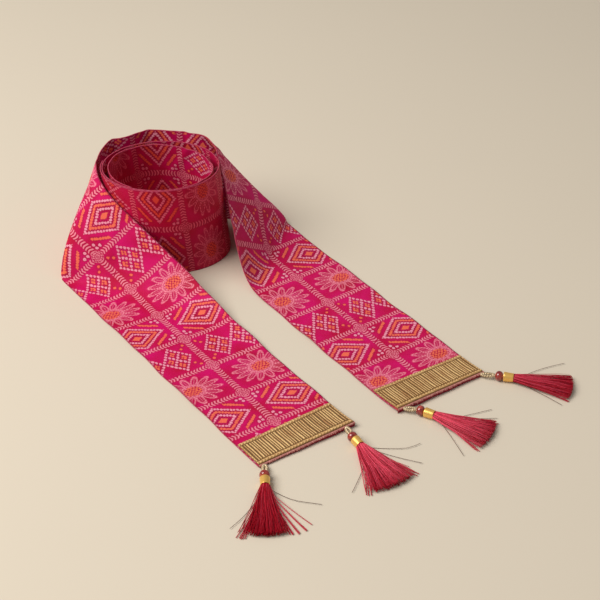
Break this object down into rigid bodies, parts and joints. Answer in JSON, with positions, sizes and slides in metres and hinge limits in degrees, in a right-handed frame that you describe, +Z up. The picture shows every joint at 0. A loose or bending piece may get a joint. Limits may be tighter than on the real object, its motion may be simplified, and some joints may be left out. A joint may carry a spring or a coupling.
{
  "type": "stole",
  "caption": "Narrow bandhani-print stole standing on edge as a loose coil, its ends folded over to lie flat and finished with ribbed gold bands and tasselled corners.",
  "frame": {"origin": "middle of the bounding box's base, on the surface that the stole lies on", "axes": "+Z up from the surface; +Y from the tasselled ends towards the coil; +X across, from the left end's side to the right end's"},
  "size_m": [0.4916, 0.4982, 0.1007],
  "materials": {
    "cloth": "bandhani print on fine crepe",
    "gold_lace": "ribbed metallic gota",
    "silk": "glossy silk thread",
    "gold_metal": "polished gold plate",
    "glass_bead": "glossy red glass look",
    "metal_thread": "twisted metallic thread"
  },
  "bodies": {
    "root": {"stole_tail_left": "cloth", "stole_tail_right": "cloth", "stole_back_turn": "cloth", "coil_outer_turn": "cloth", "coil_inner_turn": "cloth", "band_left": "gold_lace", "band_right": "gold_lace", "tassel_left_outer": "silk", "cap_left_outer": "gold_metal", "bead_left_outer": "glass_bead", "loop_left_outer": "metal_thread", "tassel_left_inner": "silk", "cap_left_inner": "gold_metal", "bead_left_inner": "glass_bead", "loop_left_inner": "metal_thread", "tassel_right_inner": "silk", "cap_right_inner": "gold_metal", "bead_right_inner": "glass_bead", "loop_right_inner": "metal_thread", "tassel_right_outer": "silk", "cap_right_outer": "gold_metal", "bead_right_outer": "glass_bead", "loop_right_outer": "metal_thread"}
  },
  "joints": []
}
